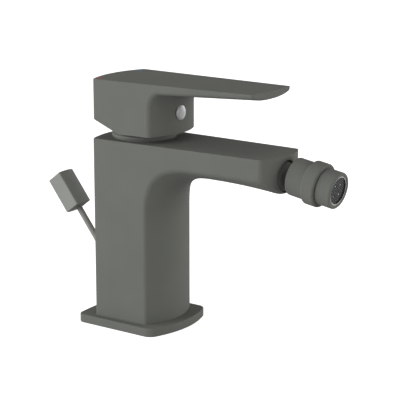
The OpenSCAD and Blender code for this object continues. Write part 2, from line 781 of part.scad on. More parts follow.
module handle_set_screw() {
    color(c_steel) translate([stem_x / 2, 0, screw_z]) rotate([0, 90, 0]) difference() {
        cylinder(h = screw_len, r = screw_r);
        translate([0, 0, screw_len - hex_depth])
            cylinder(h = hex_depth + eps, r = hex_r, $fn = 6);
    }
}

module screw_cap() {
    color([0.60, 0.60, 0.60]) translate([hub_face - cap_t, 0, screw_z]) rotate([0, 90, 0])
        rotate_extrude() polygon([[0, 0], [cap_r, 0], [cap_r, cap_t - cap_edge],
            [cap_r - cap_edge, cap_t], [cap_r / 2, cap_t + 0.8 * cap_dome],
            [0, cap_t + cap_dome]]);
}

module dot(side, colour) {
    color(colour) translate([-dot_x, side * dot_y, hub_top - dot_t])
        cylinder(h = dot_t, r = dot_r);
}

module hot_mark() { dot(-1, [0.75, 0.20, 0.16]); }
module cold_mark() { dot(1, [0.12, 0.45, 0.70]); }

// Ball stem, along the nozzle's axis from its foot in the spout to the ball
shank_r = 6;
shank_len = 10;
stem_collar_r = 7;
stem_collar_t = 4;
stem_bore = 2.2;
stem_foot = -(ball_out + recess_depth + shank_len);
stem_floor = -(ball_out + recess_depth);
// Half angle of the flat on the front of the ball
ball_flat = 38;
// Seal round the shank, and its groove
seal_wire = 0.52;
groove_r = shank_r - 1.1;
groove_w = 2;
groove_z = stem_foot + 1.5;

module ball_stem() {
    color(c_coat) nozzle_frame(0) difference() {
        union() {
            translate([0, 0, stem_foot]) cylinder(h = shank_len, r = shank_r);
            translate([0, 0, stem_floor]) cylinder(h = stem_collar_t, r = stem_collar_r);
            translate([0, 0, stem_floor]) cylinder(h = -stem_floor, r = neck_r);
            sphere(r = ball_r, $fn = ball_fn);
        }
        translate([0, 0, stem_foot - eps]) cylinder(h = ball_r - stem_foot + 2 * eps,
            r = stem_bore);
        translate([0, 0, ball_r * cos(ball_flat)]) cylinder(h = ball_r, r = ball_r + eps);
        translate([0, 0, groove_z]) washer(shank_r + eps, groove_r, groove_w);
    }
}

module stem_seal() {
    color(c_rubber) nozzle_frame(0) translate([0, 0, groove_z + groove_w / 2])
        rotate_extrude() translate([groove_r + seal_wire + fit / 2, 0])
            circle(r = seal_wire, $fn = 24);
}

// Seat rings between the ball and the barrel: slices of a spherical shell
seat_t = 1.1;
seat_gap = 0.05;
seat_r = ball_r + seat_t;
cavity_r = seat_r + seat_gap;

// Ring between the angles a0 and a1 from the axis to the outlet
module seat_ring(a0, a1) {
    reach = 2 * seat_r;
    difference() {
        intersection() {
            sphere(r = seat_r, $fn = ball_fn);
            rotate_extrude() polygon([[0, 0], for (a = [a0, (a0 + a1) / 2, a1])
                reach * [sin(a), cos(a)]]);
        }
        sphere(r = ball_r + seat_gap, $fn = ball_fn);
    }
}

module ball_rear_seat() {
    color(c_white) nozzle_frame(0) seat_ring(104, 128);
}

module ball_front_seat() {
    color(c_white) nozzle_frame() seat_ring(46, 80);
}

// Angle from the nozzle's rear axis at which the barrel's lip opens
lip_angle = 54;
lip_r = cavity_r * sin(lip_angle);
lip_chamfer = 0.8;
// Flank of the grip ring's rear, and the radii of the ring's edges and the barrel's rear
ring_flank = 1.2;
ring_rear_r = 0.6;
ring_front_r = 1.3;
barrel_edge_r = 0.8;
// Thread between the barrel and the aerator housing
thread_r = 9.2;
thread_start = 6.2;

module swivel_barrel() {
    color(c_coat) nozzle_frame() difference() {
        rotate_extrude() polygon(turned_section([
            [0, -barrel_back, 0], [barrel_r, -barrel_back, barrel_edge_r],
            [barrel_r, ring_start, 0], [ring_r, ring_start + ring_flank, ring_rear_r],
            [ring_r, ring_end, ring_front_r], [0, ring_end, 0]]));
        sphere(r = cavity_r, $fn = ball_fn);
        cylinder(h = ring_end + eps, r = cavity_r);
        translate([0, 0, thread_start]) cylinder(h = rim_out, r = thread_r + fit);
        translate([0, 0, -barrel_back - eps]) cylinder(h = barrel_back + eps, r = lip_r);
        translate([0, 0, -barrel_back]) cylinder(h = lip_chamfer, r1 = lip_r + lip_chamfer,
            r2 = lip_r);
    }
}

// Joint between the barrel and the housing, the seal in it, and the housing's rim
tip_gap = 0.3;
seal_h = 1.6;
rim_edge_r = 0.9;
tip_edge_r = 0.3;
strainer_r = 5;
// Aerator insert, its wall and its small holes, and the grille in its front
insert_start = ring_end + 0.6;
insert_wall = 1;
insert_in = 0.9;
jet_ring = 4.4;
jet_r = 0.9;
grille_t = 1.2;
grille_in = 1.3;

module aerator_housing() {
    color(c_coat) nozzle_frame() difference() {
        rotate_extrude() polygon(turned_section([
            [0, thread_start + seal_h + 2 * fit, 0],
            [thread_r, thread_start + seal_h + 2 * fit, 0], [thread_r, ring_end + tip_gap, 0],
            [tip_r, ring_end + tip_gap, tip_edge_r], [tip_r, rim_out, rim_edge_r],
            [0, rim_out, 0]]));
        translate([0, 0, insert_start]) cylinder(h = rim_out, r = outlet_r);
        sphere(r = cavity_r, $fn = ball_fn);
        cylinder(h = rim_out, r = strainer_r);
    }
}

module aerator_seal() {
    color(c_rubber) nozzle_frame() translate([0, 0, thread_start + fit])
        washer(thread_r - 2 * fit, cavity_r + 2 * fit, seal_h);
}

module aerator_insert() {
    color(c_white) nozzle_frame() translate([0, 0, insert_start]) difference() {
        cylinder(h = rim_out - insert_in - insert_start, r = outlet_r - fit);
        translate([0, 0, insert_wall]) cylinder(h = rim_out, r = outlet_r - insert_wall);
        for (a = [0 : 45 : 315]) rotate([0, 0, a]) translate([jet_ring, 0, -eps])
            cylinder(h = insert_wall + 2 * eps, r = jet_r);
        translate([0, 0, -eps]) cylinder(h = insert_wall + 2 * eps, r = jet_r);
    }
}

// Round plate of hexagonal cells, set in the front of the insert
module aerator_grille() {
    grille_r = outlet_r - insert_wall - fit;
    rows = ceil(grille_r / (cell_pitch * sin(60)));
    color(c_dark) nozzle_frame() translate([0, 0, rim_out - grille_in - grille_t])
        difference() {
            cylinder(h = grille_t, r = grille_r);
            for (j = [-rows : rows]) for (i = [-rows : rows]) let (
                x = (i + 0.5 * abs(j % 2)) * cell_pitch, y = j * cell_pitch * sin(60))
                if (norm([x, y]) < grille_r - 0.75 * cell_pitch)
                    translate([x, y, -eps]) rotate([0, 0, 30])
                        cylinder(h = grille_t + 2 * eps, d = (cell_pitch - cell_web) / cos(30),
                            $fn = 6);
        }
}

body();
base_flange();
base_gasket();
rod_bush();
lift_rod();
rod_knob();
cartridge_base();
inlet_seals();
fixed_disc();
moving_disc();
disc_carrier();
cartridge_rotor();
lever_pin();
cartridge_stem();
cartridge_housing();
cartridge_nut();
cartridge_collar();
handle();
handle_set_screw();
screw_cap();
hot_mark();
cold_mark();
ball_stem();
stem_seal();
ball_rear_seat();
ball_front_seat();
swivel_barrel();
aerator_housing();
aerator_seal();
aerator_insert();
aerator_grille();
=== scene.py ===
# %% [markdown]
# A bidet mixer with a matt graphite finish
#
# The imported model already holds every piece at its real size. This notebook gives the pieces
# that show their finished surface: eased edges, smooth bows, a real lacquer. A casting, a
# turned nozzle and a moulded grille are made in three different ways, so the cells below show
# a loft, a turned profile and Geometry Nodes one after the other. The pieces are drawn in
# millimetres, the camera, the lamps and the floor in metres. The origin lies on the deck under
# the cartridge's axis, X points along the spout and Z up.

# %% Tools and the frame
import json
import math

import bmesh
import bpy
import numpy as np
from mathutils import Matrix, Vector

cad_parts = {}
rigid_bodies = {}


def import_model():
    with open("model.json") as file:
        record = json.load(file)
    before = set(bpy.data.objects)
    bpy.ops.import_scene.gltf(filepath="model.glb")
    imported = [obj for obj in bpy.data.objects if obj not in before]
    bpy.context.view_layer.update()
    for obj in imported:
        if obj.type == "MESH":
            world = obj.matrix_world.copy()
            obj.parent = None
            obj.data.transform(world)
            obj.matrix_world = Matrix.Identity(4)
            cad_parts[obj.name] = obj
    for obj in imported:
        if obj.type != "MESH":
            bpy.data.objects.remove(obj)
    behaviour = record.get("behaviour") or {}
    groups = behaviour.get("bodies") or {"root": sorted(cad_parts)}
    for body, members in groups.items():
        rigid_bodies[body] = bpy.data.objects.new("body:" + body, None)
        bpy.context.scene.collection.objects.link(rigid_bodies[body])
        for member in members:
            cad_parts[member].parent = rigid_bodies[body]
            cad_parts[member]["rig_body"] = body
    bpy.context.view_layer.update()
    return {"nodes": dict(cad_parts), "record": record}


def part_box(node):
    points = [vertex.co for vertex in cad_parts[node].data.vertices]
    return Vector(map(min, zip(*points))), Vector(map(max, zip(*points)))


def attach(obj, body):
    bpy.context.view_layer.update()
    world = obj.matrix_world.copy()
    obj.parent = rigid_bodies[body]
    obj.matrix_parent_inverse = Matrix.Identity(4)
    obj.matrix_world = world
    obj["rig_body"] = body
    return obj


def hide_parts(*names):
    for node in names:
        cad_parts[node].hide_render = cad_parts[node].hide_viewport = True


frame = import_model()
MM = 0.001

# %% [markdown]
# The camera
#
# A product photographer stands well back with a long lens, so that upright edges stay nearly
# parallel. The camera looks from the front left corner, a little from above. Two angles give
# the line that it looks along, and its lens comes from the width of the frame.

# %% Camera
camera_azimuth = math.radians(35.32)
camera_elevation = math.radians(13.53)
camera_place = Vector((0.50434, -0.65664, 0.27181))
# The focal length as a share of the frame's width, and the sensor's width in millimetres
focal_share = 1456.7 / 400
sensor = 36

camera_back = Vector((
    math.sin(camera_azimuth) * math.cos(camera_elevation),
    -math.cos(camera_azimuth) * math.cos(camera_elevation),
    math.sin(camera_elevation)))
camera_data = bpy.data.cameras.new("camera")
camera_data.sensor_width = sensor
camera_data.lens = sensor * focal_share
camera_data.clip_start = 0.05
camera = bpy.data.objects.new("camera", camera_data)
camera.location = camera_place
camera.rotation_mode = "QUATERNION"
camera.rotation_quaternion = (-camera_back).to_track_quat("-Z", "Y")
bpy.context.scene.collection.objects.link(camera)
bpy.context.scene.camera = camera
print("camera lens", round(camera_data.lens, 1), "mm")

# %% [markdown]
# Nodes, colours and meshes
#
# Three small helpers carry the rest. One adds a node with its settings and links, to a
# material or to a Geometry Nodes tree. One turns a colour as it is written on a colour card
# into Blender's linear light. One makes a mesh from points in millimetres.

# %% Helpers for nodes, colours and meshes
merge_gap = 0.002


def node(tree, kind, inputs=None, **settings):
    """Adds a node. inputs maps a socket's name or number to a value or to another socket."""
    made = tree.nodes.new(kind)
    for key, value in settings.items():
        setattr(made, key, value)
    for key, value in (inputs or {}).items():
        if isinstance(value, bpy.types.NodeSocket):
            tree.links.new(value, made.inputs[key])
        else:
            made.inputs[key].default_value = value
    return made


def linear(hex_colour):
    """Linear red, green, blue and alpha of an sRGB colour such as "#70726d"."""
    parts = [int(hex_colour[i:i + 2], 16) / 255 for i in (1, 3, 5)]
    return [p / 12.92 if p <= 0.04045 else ((p + 0.055) / 1.055) ** 2.4 for p in parts] + [1.0]


def mesh_piece(name, points, faces):
    """An object at the origin, from points in millimetres, with its faces turned outwards."""
    mesh = bpy.data.meshes.new(name)
    mesh.from_pydata([tuple(MM * c for c in p) for p in points], [], faces)
    piece = bpy.data.objects.new(name, mesh)
    bpy.context.scene.collection.objects.link(piece)
    tidy(piece)
    return piece


def tidy(piece):
    """Merges doubled points and turns the faces outwards."""
    work = bmesh.new()
    work.from_mesh(piece.data)
    bmesh.ops.remove_doubles(work, verts=work.verts, dist=merge_gap * MM)
    bmesh.ops.recalc_face_normals(work, faces=work.faces)
    work.to_mesh(piece.data)
    work.free()


def settled(piece):
    """Applies a piece's modifiers to its mesh and removes them."""
    graph = bpy.context.evaluated_depsgraph_get()
    graph.update()
    mesh = bpy.data.meshes.new_from_object(piece.evaluated_get(graph))
    piece.modifiers.clear()
    piece.data = mesh
    mesh.name = piece.name


print("white is", [round(c, 3) for c in linear("#ffffff")])

# %% [markdown]
# Finishes
#
# The visible metal is brass under a matt graphite lacquer, sprayed and baked. A sprayed coat
# keeps a very fine waviness, called orange peel, a millimetre or so from crest to crest. It
# breaks up what light it returns just enough to look like paint. Its colour drifts by a few per
# cent in soft clouds. Mouldings and machined metal have a finer grain.

# %% Surfaces
cloud_size, cloud_low, cloud_high = 25, 0.3, 0.7
drift = 0.03


def surface(name, colour, roughness, peel, depth, metallic=0.0, ior=1.5, specular=0.5):
    """A finish with a fine waviness: peel is its crest spacing and depth its height, in mm.
    Soft clouds of cloud_size let its colour and its roughness drift."""
    material = bpy.data.materials.new(name)
    material.use_nodes = True
    tree = material.node_tree
    shader = tree.nodes["Principled BSDF"]
    shader.inputs["Metallic"].default_value = metallic
    if not metallic:
        shader.inputs["IOR"].default_value = ior
        shader.inputs["Specular IOR Level"].default_value = specular
    place = node(tree, "ShaderNodeTexCoord").outputs["Object"]
    cloud = node(tree, "ShaderNodeTexNoise", {
        "Vector": place, "Scale": 1 / (cloud_size * MM), "Detail": 2.0}).outputs["Fac"]
    tint = node(tree, "ShaderNodeValToRGB", {"Fac": cloud})
    base = np.array(linear(colour))
    ends = zip(tint.color_ramp.elements, (1 - drift, 1 + drift), (cloud_low, cloud_high))
    for end, shade, position in ends:
        end.color = [*(base[:3] * shade), 1.0]
        end.position = position
    tree.links.new(tint.outputs["Color"], shader.inputs["Base Color"])
    rough = node(tree, "ShaderNodeMapRange", {
        "Value": cloud, "From Min": cloud_low, "From Max": cloud_high,
        "To Min": roughness - drift, "To Max": roughness + drift})
    tree.links.new(rough.outputs["Result"], shader.inputs["Roughness"])
    waves = node(tree, "ShaderNodeTexNoise", {
        "Vector": place, "Scale": 1 / (peel * MM), "Detail": 1.0})
    bump = node(tree, "ShaderNodeBump", {
        "Height": waves.outputs["Fac"], "Distance": depth * MM, "Strength": 1.0})
    tree.links.new(bump.outputs["Normal"], shader.inputs["Normal"])
    return material


# Baked lacquer full of matting powder. It shows no glint even at a flat angle, so that every
# plane reads as one even tone and only the rounded edges shade from one plane to the next.
matt = 0.004
graphite_lacquer = surface("graphite_lacquer", "#6e706b", 0.65, 0.9, 0.004, specular=matt)
# The same lacquer a shade lighter, which sets the rod and its knob off from the casting
graphite_lacquer_light = surface(
    "graphite_lacquer_light", "#8f918c", 0.65, 0.9, 0.004, specular=matt)
# Turned brass, left bare inside: a warm yellow glow in the gap over the collar
turned_brass = surface("turned_brass", "#c9a45c", 0.3, 0.2, 0.003, metallic=1.0)
# Ground steel pin and screw: a cool, tight shine
ground_steel = surface("ground_steel", "#b4b5b8", 0.32, 0.15, 0.002, metallic=1.0)
# Alumina lapped flat enough to hold water back: nearly a mirror, yet chalk white
lapped_alumina = surface("lapped_alumina", "#ece9e1", 0.18, 0.3, 0.0005, ior=1.76)
# Moulded acetal: a soft waxy sheen, with the fine grain of the mould
white_acetal = surface("white_acetal", "#dcdcd8", 0.42, 0.25, 0.003)
black_acetal = surface("black_acetal", "#1f1f20", 0.42, 0.25, 0.003)
# Nitrile rubber: a dull black that swallows light
nitrile_rubber = surface("nitrile_rubber", "#161616", 0.75, 0.3, 0.006, ior=1.52)
# Satin grey plug over the set screw: the one pale spot on the front, with a soft highlight
grey_cap = surface("grey_cap_abs", "#b2b2b2", 0.36, 0.4, 0.002)
# Enamel dots as dull as the lacquer round them, so that they keep their colour at a flat angle
red_enamel = surface("red_enamel", "#a8402f", 0.45, 0.5, 0.001, specular=0.03)
blue_enamel = surface("blue_enamel", "#2b7fb0", 0.45, 0.5, 0.001, specular=0.03)
# Glossy pale plastic, which draws a thin bright line round the outlet
pale_aerator = surface("pale_aerator_abs", "#c9c9c8", 0.22, 0.5, 0.001)
# Black acetal of the honeycomb, whose webs catch just enough light to show as a mesh
black_grille = surface("black_grille_acetal", "#19191a", 0.34, 0.25, 0.002)

finishes = {
    "graphite_coat": graphite_lacquer,
    "graphite_coat_light": graphite_lacquer_light,
    "raw_brass": turned_brass,
    "steel_pin": ground_steel,
    "ceramic_disc": lapped_alumina,
    "cartridge_plastic": white_acetal,
    "rotor_plastic": black_acetal,
    "bush_plastic": black_acetal,
    "rubber_seal": nitrile_rubber,
    "cap_grey": grey_cap,
    "mark_red": red_enamel,
    "mark_blue": blue_enamel,
    "aerator_plastic": pale_aerator,
    "grille_plastic": black_grille,
}
print("finishes:", len(set(finishes.values())))

# %% [markdown]
# Finishing a piece
#
# Every new piece goes through the same last steps: its material, smooth shading with crisp
# edges only where the metal really turns, normals weighted by face area so that flat faces
# stay flat beside their rounded edges, and then its place in the machine.

# %% Finishing helper
def finished(piece, slot, *nodes, sharp=40):
    """Shades a piece, gives it its finish and body, and lets it stand for its CAD nodes."""
    work = bmesh.new()
    work.from_mesh(piece.data)
    for edge in work.edges:
        edge.smooth = len(edge.link_faces) != 2 or edge.calc_face_angle(0) < math.radians(sharp)
    for face in work.faces:
        face.smooth = True
    work.to_mesh(piece.data)
    work.free()
    piece.data.materials.clear()
    piece.data.materials.append(finishes[slot])
    weighted = piece.modifiers.new("weighted normals", "WEIGHTED_NORMAL")
    weighted.keep_sharp = True
    weighted.weight = 50
    body = frame["nodes"][nodes[0]]["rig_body"]
    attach(piece, body)
    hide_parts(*nodes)


def combined(piece, operation, others):
    """Adds the others to the piece or takes them out of it, and removes them."""
    for other in others:
        change = piece.modifiers.new(other.name, "BOOLEAN")
        change.operation = operation
        change.solver = "EXACT"
        change.object = other
    settled(piece)
    for other in others:
        bpy.data.objects.remove(other)


def carved(piece, *cutters):
    combined(piece, "DIFFERENCE", cutters)


def welded_on(piece, *others):
    combined(piece, "UNION", others)


# The nodes that stay as they are get the finish of their slot
slots = {part["node"]: part["material_slot"] for part in frame["record"]["subparts"]}
for name, cad in frame["nodes"].items():
    cad.data.materials.clear()
    cad.data.materials.append(finishes[slots[name]])
print("slots:", len(set(slots.values())))

# %% [markdown]
# The body casting
#
# The body is one brass casting: a column with a bowed front and rear, and a spout whose
# underside bulges and meets the column in an arch. Its two sides are flat and draw together
# towards the spout's end. Seen from the side it is one outline, so it is lofted from side to
# side: the outline is drawn many times across the width, each time with its bows, and close to
# the sides it steps inwards along a quarter circle, which rounds every edge of that side.

# %% Corners and bows
def fillet(a, p, b, radius, steps=6):
    """Points of an arc of a radius in the corner at p between its neighbours a and b."""
    a, p, b = Vector(a), Vector(p), Vector(b)
    u, v = (a - p).normalized(), (b - p).normalized()
    half = math.acos(max(-1.0, min(1.0, u.dot(v)))) / 2
    centre = p + (u + v).normalized() * (radius / math.sin(half))
    tangent = radius / math.tan(half)
    start, end = (p + u * tangent - centre) / radius, (p + v * tangent - centre) / radius
    turn = math.pi - 2 * half
    return [centre + (start * math.sin((1 - k / steps) * turn) + end * math.sin(k / steps * turn))
            * (radius / math.sin(turn)) for k in range(steps + 1)]


def eased(corners, steps=6):
    """A closed outline from its corners (x, y, radius), each rounded by its radius."""
    made = []
    for i, corner in enumerate(corners):
        before, after = corners[i - 1], corners[(i + 1) % len(corners)]
        if len(corner) > 2 and corner[2] > 0:
            made += fillet(before[:2], corner[:2], after[:2], corner[2], steps)
        else:
            made.append(Vector(corner[:2]))
    return made


def bow(u, rise):
    """How far a bowed edge stands out at the offset u, -1 to 1 across it."""
    return rise * (1 - u * u)


print("corner test", len(eased([(0, 0, 1), (9, 0), (9, 9, 2), (0, 9)])), "points")


# %% Loft of an outline from side to side
def eased_step(distance, radius):
    """How far a quarter round edge stands back at a distance from the side face."""
    if distance >= radius:
        return 0.0
    return radius - math.sqrt(max(0.0, radius ** 2 - (radius - distance) ** 2))


def stepped_in(points, steps):
    """The outline with each of its edges moved inwards by its own step. It turns clockwise."""
    count = len(points)
    edges = [points[(i + 1) % count] - points[i] for i in range(count)]
    inwards = [Vector((e.y, -e.x)).normalized() for e in edges]
    moved = []
    for i in range(count):
        before, after = inwards[i - 1], inwards[i]
        a, b = steps[i - 1], steps[i]
        cross = before.x * after.y - before.y * after.x
        # Where two edges nearly line up, the corner moves along their middle
        if abs(cross) < 0.3:
            middle = (before + after).normalized()
            move = middle * ((a + b) / 2 / middle.dot(after))
        else:
            move = Vector((a * after.y - b * before.y, b * before.x - a * after.x)) / cross
        moved.append(points[i] + move)
    return moved


def side_offsets(half, radius, edge_steps=9, middle_steps=28):
    """Offsets across the width, -1 to 1: close together in the round edges, even between."""
    edge = [1 - radius / half * (1 - math.cos(math.pi / 2 * i / edge_steps))
            for i in range(edge_steps + 1)]
    inner = edge[-1]
    middle = [inner * (2 * i / middle_steps - 1) for i in range(1, middle_steps)]
    return [-e for e in edge] + middle + edge[::-1]


def lofted(name, outline, half, widest, radius, flats):
    """Lofts outline(u), a list of (x, z, edge radius), across the width 2 * half(x).
    flats are the numbers of the outline's flat edges, each of which becomes one face."""
    rows = []
    for u in side_offsets(widest, radius):
        drawn = outline(u)
        points = [Vector(p[:2]) for p in drawn]
        steps = [eased_step((1 - abs(u)) * half((p.x + points[(i + 1) % len(points)].x) / 2),
                            drawn[i][2]) for i, p in enumerate(points)]
        rows.append([(q.x, u * half(q.x), q.y) for q in stepped_in(points, steps)])
    count = len(rows[0])
    points = [p for row in rows for p in row]
    faces = [tuple(range(count)), tuple(range(len(points) - 1, len(points) - count - 1, -1))]
    for i in range(count):
        k = (i + 1) % count
        if i in flats:
            faces.append(tuple([j * count + i for j in range(len(rows))]
                               + [j * count + k for j in reversed(range(len(rows)))]))
            continue
        faces += [(j * count + i, j * count + k, (j + 1) * count + k, (j + 1) * count + i)
                  for j in range(len(rows) - 1)]
    return mesh_piece(name, points, faces)


def rims_rounded(piece, width, chosen, steps=3):
    """Rounds the edges that chosen picks from the piece's mesh, by a width in millimetres."""
    work = bmesh.new()
    work.from_mesh(piece.data)
    bmesh.ops.bevel(work, geom=chosen(work), offset=width * MM, segments=steps, profile=0.5,
                    affect="EDGES", clamp_overlap=False)
    work.to_mesh(piece.data)
    work.free()


def round_the_top(height):
    """A choice of edges: those of the many-sided face that lies flat at a height."""
    def chosen(work):
        flat = [f for f in work.faces if len(f.verts) > 8
                and all(abs(v.co.z / MM - height) < 0.01 for v in f.verts)]
        return list(dict.fromkeys(e for f in flat for e in f.edges))
    return chosen


def square_edges(work):
    """A choice of edges: those that turn by more than 60 degrees."""
    return [e for e in work.edges if len(e.link_faces) == 2
            and e.calc_face_angle() > math.radians(60)]


print("rows across a casting:", len(side_offsets(23, 2)))


# %% Arch, body outline and loft
def box_mm(name):
    """The low and the high corner of a CAD node's box."""
    low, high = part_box(name)
    return low / MM, high / MM


# Lengths along X from the axis, half widths, bows, and how far the belly bulges
body_low, body_high = box_mm("body")
foot_z, body_top, spout_end = body_low.z, body_high.z, body_high.x
column_rear, column_front, spout_reach = 19.6, 16.0, 92.0
half_rear, half_front = 23.3, 19.5
bow_rear, bow_column, bow_spout = 4.6, 6.6, 5.7
arch_length, arch_height, arch_power = 32.4, 29.6, 2.8
belly_middle, belly_end, belly_run = 6.2, 10.7, spout_end + 2 - column_front - arch_length
spout_edge_z = body_top - 12.4
# Radii of the rounded edges
side_edge, column_edge, under_edge, lip_round, top_edge = 1.2, 1.1, 1.9, 2.6, 0.35


def arch(x0, z0, length, height, power, foot_edge, crown_edge, steps=22):
    """A squared quarter arch from its foot at (x0, z0) to its crown, with its edge radii."""
    return [(x0 + length * (1 - max(math.cos(t), 0.0) ** (2 / power)),
             z0 + height * max(math.sin(t), 0.0) ** (2 / power), edge)
            for t, edge in zip(np.linspace(0, math.pi / 2, steps + 1),
                               np.linspace(foot_edge, crown_edge, steps + 1))]


def tip_to_foot(tip_x, top, under, lip_radius, edge, curve, aim=6, steps=11):
    """The lower part of an outline: round the lip of a tip, along the underside under(x) and
    down the arch. The lip's corner takes the underside's slope over a length of aim."""
    lip = fillet((tip_x, top), (tip_x, under(tip_x)), (tip_x - aim, under(tip_x - aim)), lip_radius)
    belly = np.linspace(lip[-1].x, curve[-1][0], steps + 1)[1:-1]
    return [(p.x, p.y, edge) for p in lip] + [(x, under(x), edge) for x in belly] + curve[::-1]


def body_half(x):
    return half_rear + (half_front - half_rear) * (x + column_rear) / (spout_reach + column_rear)


def body_outline(u):
    """The body seen from the side, clockwise from the rear of its foot, at the offset u."""
    rear_x = -column_rear - bow(u, bow_rear)
    front_x = spout_reach + bow(u, bow_spout)
    column_x = column_front + bow(u, bow_column)

    def under(x):
        share = max(0.0, (x - column_x - arch_length) / belly_run)
        return spout_edge_z - bow(u, belly_middle + (belly_end - belly_middle) * share * share)

    curve = arch(column_x, under(0) - arch_height, arch_length, arch_height, arch_power,
                 column_edge, under_edge)
    return ([(rear_x, foot_z, side_edge), (rear_x, body_top, 0.0), (front_x, body_top, side_edge)]
            + tip_to_foot(front_x, body_top, under, lip_round, under_edge, curve)
            + [(column_x, foot_z, 0.0)])


body_casting = lofted("body_casting", body_outline, body_half, half_rear, under_edge,
                      {1, len(body_outline(0.0)) - 1})
rims_rounded(body_casting, top_edge, round_the_top(body_top))
print("body loft", len(body_casting.data.polygons), "faces")

# %% [markdown]
# Bores and hollows
#
# The casting is bored for the cartridge from above, for the nozzle's shank from the front
# and for the hoses and the rod from below. Each cutter is a turned or extruded solid, and a
# Boolean modifier takes it out of the casting, as the machining does.

# %% Turned and extruded solids
def turned(name, corners, place=Matrix(), segments=128, steps=5):
    """A piece turned on a lathe: corners (radius, height, edge radius) go round its closed
    section in millimetres, and place is the frame whose Z is the lathe's axis."""
    section = eased(corners, steps)
    count = len(section)
    points, faces = [], []
    for j in range(segments):
        a = 2 * math.pi * j / segments
        points += [place @ Vector((p.x * math.cos(a), p.x * math.sin(a), p.y)) for p in section]
    for j in range(segments):
        for i in range(count):
            k, n = (i + 1) % count, (j + 1) % segments
            if section[i].x < 1e-6 and section[k].x < 1e-6:
                continue
            faces.append((j * count + i, j * count + k, n * count + k, n * count + i))
    return mesh_piece(name, points, faces)


def extruded(name, outline, z0, z1):
    """An upright prism over an outline."""
    count = len(outline)
    points = [(p.x, p.y, z) for z in (z0, z1) for p in outline]
    faces = [tuple(range(count)), tuple(range(2 * count - 1, count - 1, -1))]
    faces += [(i, (i + 1) % count, count + (i + 1) % count, count + i) for i in range(count)]
    return mesh_piece(name, points, faces)


def bore(name, radius, start, end):
    """A round solid from start to end, which cuts a bore or stands as a pin."""
    start, end = Vector(start), Vector(end)
    axis = end - start
    place = Matrix.Translation(start) @ axis.to_track_quat("Z", "Y").to_matrix().to_4x4()
    return turned(name, [(0, 0), (radius, 0), (radius, axis.length), (0, axis.length)],
                  place, segments=96)


def bowed_plan(rear, half_back, rear_bow, front, half_fore, front_bow, corner, inset=0.0,
               steps=24):
    """Plan of a piece with straight sides, bowed ends and rounded corners, drawn in by inset."""
    us = np.linspace(-1, 1, steps + 1)
    ends = [(front - inset + bow(u, front_bow), u * (half_fore - inset)) for u in us]
    ends += [(inset - rear - bow(u, rear_bow), -u * (half_back - inset)) for u in us]
    corners = [0, steps, steps + 1, 2 * steps + 1]
    return eased([(*p, corner if i in corners else 0.0) for i, p in enumerate(ends)])


def facing_front(x, z, dip=0.0):
    """The frame of a turned part whose axis points forwards, dipped by some degrees."""
    return Matrix.Translation((x, 0, z)) @ Matrix.Rotation(math.radians(90 + dip), 4, "Y")


# The lift rod leaves the rear wall at a height and a slope. Z of its frame runs up the rod.
rod_z, rod_slope, rod_r = 27.5, math.radians(38), 1.8
rod_place = Matrix.Translation((-column_rear - bow_rear, 0, rod_z)) @ Matrix.Rotation(
    -rod_slope, 4, "Y")
ball_x, ball_z = spout_end + 9.5, body_top - 11.7
# The play left round a piece that is pushed into its hole
fit_gap = 0.05
print("ball at", round(ball_x, 1), round(ball_z, 1), "mm")

# %% Boring the body
seat_z, ceiling_z, nut_z = 76.0, 55.0, 101.0
foot_wall = 3.6
stud_x, inlet_x, inlet_y = 9, -4, 8
column_plan = (column_rear, half_rear, bow_rear, column_front, body_half(column_front), bow_column)


def in_rod(z):
    """A point on the rod's axis, z up the rod from the rear wall."""
    return rod_place @ Vector((0, 0, z))


def upright(name, radius, x, y, z0, z1):
    """A bore along Z."""
    return bore(name, radius, (x, y, z0), (x, y, z1))


def lengthwise(name, radius, z, x0, x1):
    """A bore along X in the middle plane."""
    return bore(name, radius, (x0, 0, z), (x1, 0, z))


foot_room = extruded("foot_room", bowed_plan(*column_plan, side_edge, foot_wall), -1, ceiling_z)
carved(foot_room, bore("bush_boss", 5.4, in_rod(-9), in_rod(4)))

# The spout's end has a round recess with a broken rim, in which the nozzle's stem sits
recess = turned("recess", [(0, -4.5), (8.6, -4.5), (8.9, -0.5, 1.2), (10.4, 1.2), (0, 1.2)],
                facing_front(spout_end, ball_z), segments=96)
cutters = [foot_room, upright("cartridge_bore", 17.6, 0, 0, seat_z, body_top + 2),
           upright("nut_bore", 18.45, 0, 0, nut_z, body_top + 2),
           upright("stud_hole", 3.4, stud_x, 0, ceiling_z - 1, ceiling_z + 13),
           recess, lengthwise("shank_bore", 6.05, ball_z, spout_end - 14.5, spout_end),
           bore("rod_hole", 3.45, in_rod(-18), in_rod(9))]
for y in (-inlet_y, inlet_y):
    cutters.append(upright("inlet", 4.5, inlet_x, y, ceiling_z - 1, ceiling_z + 10))
    cutters.append(upright("port", 2.5, inlet_x, y, ceiling_z, seat_z + 1))
carved(body_casting, *cutters)
finished(body_casting, "graphite_coat", "body")
print("body bored:", len(body_casting.data.polygons), "faces")

# %% [markdown]
# The lever
#
# The lever is cast as well: a hub with a bowed front and rear, which a thin blade leaves in a
# small arch. It is lofted in the same way. The blade thins towards its tip, its lower edges
# are well rounded so that a hand slides along them, and behind the axis its underside rises,
# which gives the hub room to tip back when the tap is opened.

